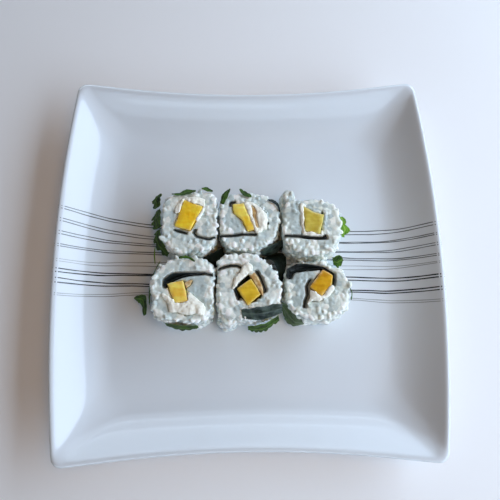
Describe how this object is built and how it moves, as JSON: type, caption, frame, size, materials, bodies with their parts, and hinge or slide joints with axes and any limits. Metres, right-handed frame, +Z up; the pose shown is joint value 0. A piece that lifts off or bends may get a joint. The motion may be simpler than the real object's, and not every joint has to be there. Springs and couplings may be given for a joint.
{
  "type": "uramaki rolls on a plate",
  "caption": "Inside-out sushi rolls with mango, cream cheese and herbs, cut side up in two rows on a square white plate with thin dark stripes.",
  "frame": {"origin": "on the table under the middle of the plate", "axes": "+Z up, +X to the plate's right and +Y to its far side as seen in the picture"},
  "size_m": [0.264, 0.2618, 0.0378],
  "materials": {
    "porcelain": "gloss",
    "rice": "satin",
    "mango": "satin",
    "tan_slice": "satin",
    "cream_cheese": "satin",
    "nori": "satin",
    "herb_leaf": "satin",
    "dark_leaf": "satin"
  },
  "bodies": {
    "root": {"cream_cheese_1": "cream_cheese", "cream_cheese_2": "cream_cheese", "cream_cheese_3": "cream_cheese", "cream_cheese_4": "cream_cheese", "cream_cheese_5": "cream_cheese", "cream_cheese_6": "cream_cheese", "leaf_1_bud": "herb_leaf", "leaf_1_far": "herb_leaf", "leaf_1_far_tip": "herb_leaf", "leaf_1_low": "herb_leaf", "leaf_1_side": "herb_leaf", "leaf_1_stem": "herb_leaf", "leaf_2_corner": "herb_leaf", "leaf_2_dark": "dark_leaf", "leaf_2_far": "herb_leaf", "leaf_2_low": "dark_leaf", "leaf_3_bright": "herb_leaf", "leaf_3_low": "herb_leaf", "leaf_4_hook": "herb_leaf", "leaf_4_near": "herb_leaf", "leaf_4_side": "herb_leaf", "leaf_4_top": "herb_leaf", "leaf_5_flap": "dark_leaf", "leaf_5_near": "herb_leaf", "leaf_6_smooth": "herb_leaf", "leaf_6_tip": "herb_leaf", "leaf_gap": "dark_leaf", "leaf_notch": "dark_leaf", "mango_1": "mango", "mango_2": "mango", "mango_3": "mango", "mango_4": "mango", "mango_5": "mango", "mango_6": "mango", "nori_1": "nori", "nori_2": "nori", "nori_3": "nori", "nori_4": "nori", "nori_5": "nori", "nori_6": "nori", "nori_inner_5": "nori", "nori_inner_6": "nori", "plate": "porcelain", "rice_1": "rice", "rice_2": "rice", "rice_3": "rice", "rice_4": "rice", "rice_5": "rice", "rice_6": "rice", "slice_2": "tan_slice", "slice_4": "tan_slice", "slice_5": "tan_slice"}
  },
  "joints": []
}
